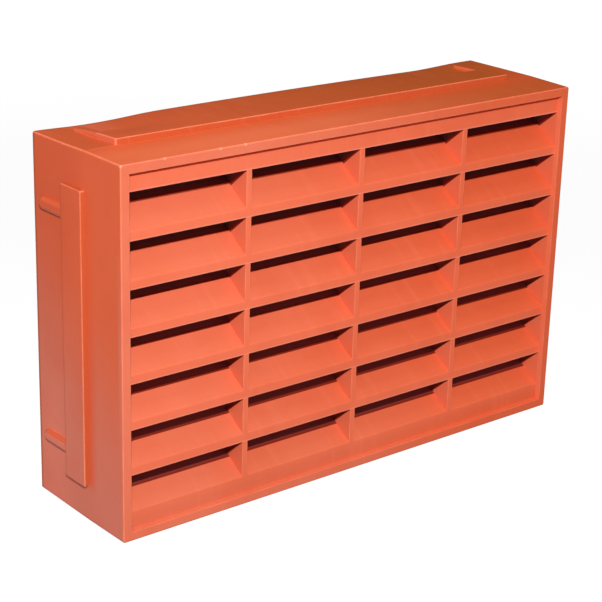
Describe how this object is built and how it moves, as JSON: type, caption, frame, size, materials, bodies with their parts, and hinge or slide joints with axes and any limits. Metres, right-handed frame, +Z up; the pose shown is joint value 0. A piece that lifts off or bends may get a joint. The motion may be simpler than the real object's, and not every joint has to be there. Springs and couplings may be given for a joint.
{
  "type": "louvred airbrick",
  "caption": "Louvred airbrick: a terracotta-coloured moulded plastic box, open at the back, with rows of sloping slots across its face and raised mortar keys on its top and sides.",
  "frame": {"origin": "centre of the underside, level with the bed it stands on", "axes": "+Z up, the louvred face looks towards -Y and the open back towards +Y, +X along the width"},
  "size_m": [0.219, 0.056, 0.1415],
  "materials": {
    "terracotta_plastic": "matte moulded plastic in terracotta orange, slightly scuffed along the edges"
  },
  "bodies": {
    "root": {"airbrick_body": "terracotta_plastic"}
  },
  "joints": []
}
